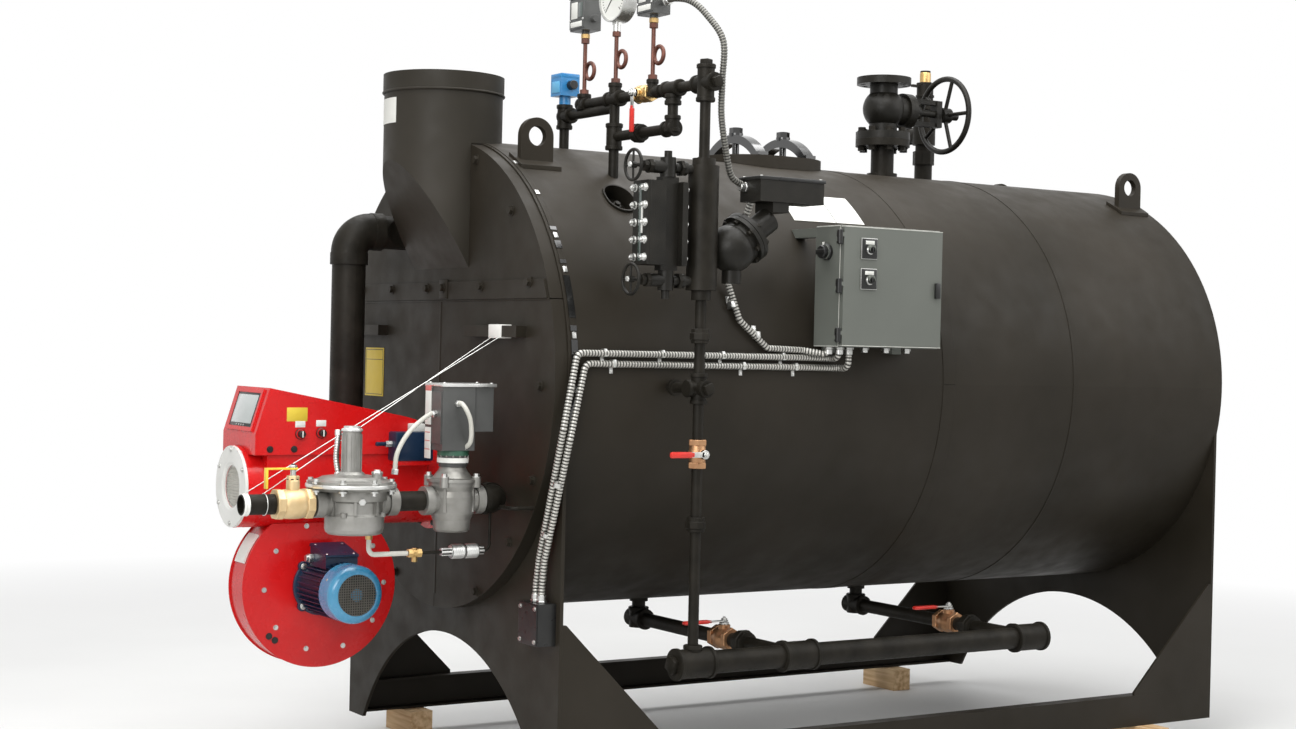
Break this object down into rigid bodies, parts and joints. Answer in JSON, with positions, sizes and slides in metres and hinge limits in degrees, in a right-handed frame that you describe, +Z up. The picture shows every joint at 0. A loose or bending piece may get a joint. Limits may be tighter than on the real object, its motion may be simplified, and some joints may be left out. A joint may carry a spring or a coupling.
{
  "type": "industrial boiler",
  "caption": "Horizontal steam boiler with a bolted front, gun burner, gas train, flue stack, water column, steam trim, control panel and blowdown piping, on a channel base frame.",
  "frame": {"origin": "middle of the footprint's bounding box, on the floor under the timber blocks", "axes": "+Z up; +Y along the boiler from the burner end to the rear door; +X towards the side with the water column and the control panel"},
  "size_m": [1.884, 3.925, 2.7023],
  "materials": {
    "black_paint": "satin black paint",
    "timber": "sawn timber",
    "cast_iron": "black iron, dull",
    "brass": "cast brass",
    "bronze_tube": "brown oxidised tube",
    "red_lever": "dipped red plastic on steel",
    "yellow_lever": "yellow paint",
    "bright_steel": "zinc-plated steel",
    "grey_box": "dark grey housing",
    "blue_paint": "blue paint",
    "panel_grey": "grey powder coat",
    "dark_box": "black paint",
    "burner_red": "gloss red paint",
    "white_ring": "white paint",
    "motor_blue": "dark blue paint",
    "die_cast": "bare die cast"
  },
  "bodies": {
    "boiler": {"shell_jacket": "black_paint", "front_plate": "black_paint", "rear_plate": "black_paint", "rear_door": "black_paint", "upper_front_cover": "black_paint", "lower_cover_left": "black_paint", "lower_cover_right": "black_paint", "base_rail_left": "black_paint", "base_rail_right": "black_paint", "corner_gussets": "black_paint", "timber_blocks": "timber", "flue_stack": "black_paint", "lifting_lugs": "black_paint", "handhole": "cast_iron", "manhole_ring": "black_paint", "manhole_yokes": "cast_iron", "steam_nozzle": "cast_iron", "steam_valve_body": "cast_iron", "steam_valve_bonnet": "cast_iron", "safety_valve": "brass", "water_column": "cast_iron", "gauge_valves": "cast_iron", "gauge_glass": "cast_iron", "low_water_cutoff": "cast_iron", "trim_header": "cast_iron", "siphon_tubes": "bronze_tube", "pressure_gauge": "bright_steel", "pressure_switches": "grey_box", "pressure_transmitter": "blue_paint", "control_panel_box": "panel_grey", "conduits": "bright_steel", "junction_box": "dark_box", "drain_pipe": "cast_iron", "blowdown_header": "cast_iron", "burner_body": "burner_red", "fan_housing": "burner_red", "burner_control_cover": "burner_red", "air_intake_casing": "burner_red", "air_inlet_ring": "white_ring", "fan_motor": "motor_blue", "gas_inlet_pipe": "cast_iron", "gas_piping": "cast_iron", "gas_regulator": "die_cast", "gas_safety_valve": "die_cast", "gas_valve_actuator": "grey_box", "gas_train_ties": "bright_steel", "flue_gas_pipe": "black_paint"},
    "door": {"control_panel_door": "panel_grey"},
    "steam_wheel": {"steam_valve_handwheel": "cast_iron"},
    "upper_wheel": {"upper_gauge_handwheel": "cast_iron"},
    "lower_wheel": {"lower_gauge_handwheel": "cast_iron"},
    "header_lever": {"header_valve_lever": "red_lever"},
    "drain_lever": {"drain_valve_lever": "red_lever"},
    "front_lever": {"front_blowdown_lever": "red_lever"},
    "rear_lever": {"rear_blowdown_lever": "red_lever"},
    "gas_handle": {"gas_cock_handle": "yellow_lever"}
  },
  "joints": [
    {"name": "panel_door_hinge", "type": "hinge", "parent": "boiler", "child": "door", "pos_m": [0.85, -0.0915, 1.482], "axis": [0, 0, -1], "range_deg": [0, 110]},
    {"name": "steam_valve_spindle", "type": "hinge", "parent": "boiler", "child": "steam_wheel", "pos_m": [-0.092, 1.1525, 2.4133], "axis": [0, 1, 0], "continuous": true},
    {"name": "upper_gauge_spindle", "type": "hinge", "parent": "boiler", "child": "upper_wheel", "pos_m": [0.858, -0.8925, 2.016], "axis": [0, -1, 0], "continuous": true},
    {"name": "lower_gauge_spindle", "type": "hinge", "parent": "boiler", "child": "lower_wheel", "pos_m": [0.858, -0.8925, 1.671], "axis": [0, -1, 0], "continuous": true},
    {"name": "header_valve_stem", "type": "hinge", "parent": "boiler", "child": "header_lever", "pos_m": [0.508, -0.6355, 2.285], "axis": [0, -1, 0], "range_deg": [0, 90]},
    {"name": "drain_valve_stem", "type": "hinge", "parent": "boiler", "child": "drain_lever", "pos_m": [0.858, -0.6355, 1.14], "axis": [1, 0, 0], "range_deg": [0, 90]},
    {"name": "front_blowdown_stem", "type": "hinge", "parent": "boiler", "child": "front_lever", "pos_m": [0.448, -0.2325, 0.492], "axis": [0, 0, 1], "range_deg": [0, 90]},
    {"name": "rear_blowdown_stem", "type": "hinge", "parent": "boiler", "child": "rear_lever", "pos_m": [0.448, 0.7625, 0.492], "axis": [0, 0, 1], "range_deg": [0, 90]},
    {"name": "gas_cock_stem", "type": "hinge", "parent": "boiler", "child": "gas_handle", "pos_m": [0.468, -1.8025, 0.982], "axis": [0, 0, 1], "range_deg": [0, 90]}
  ]
}
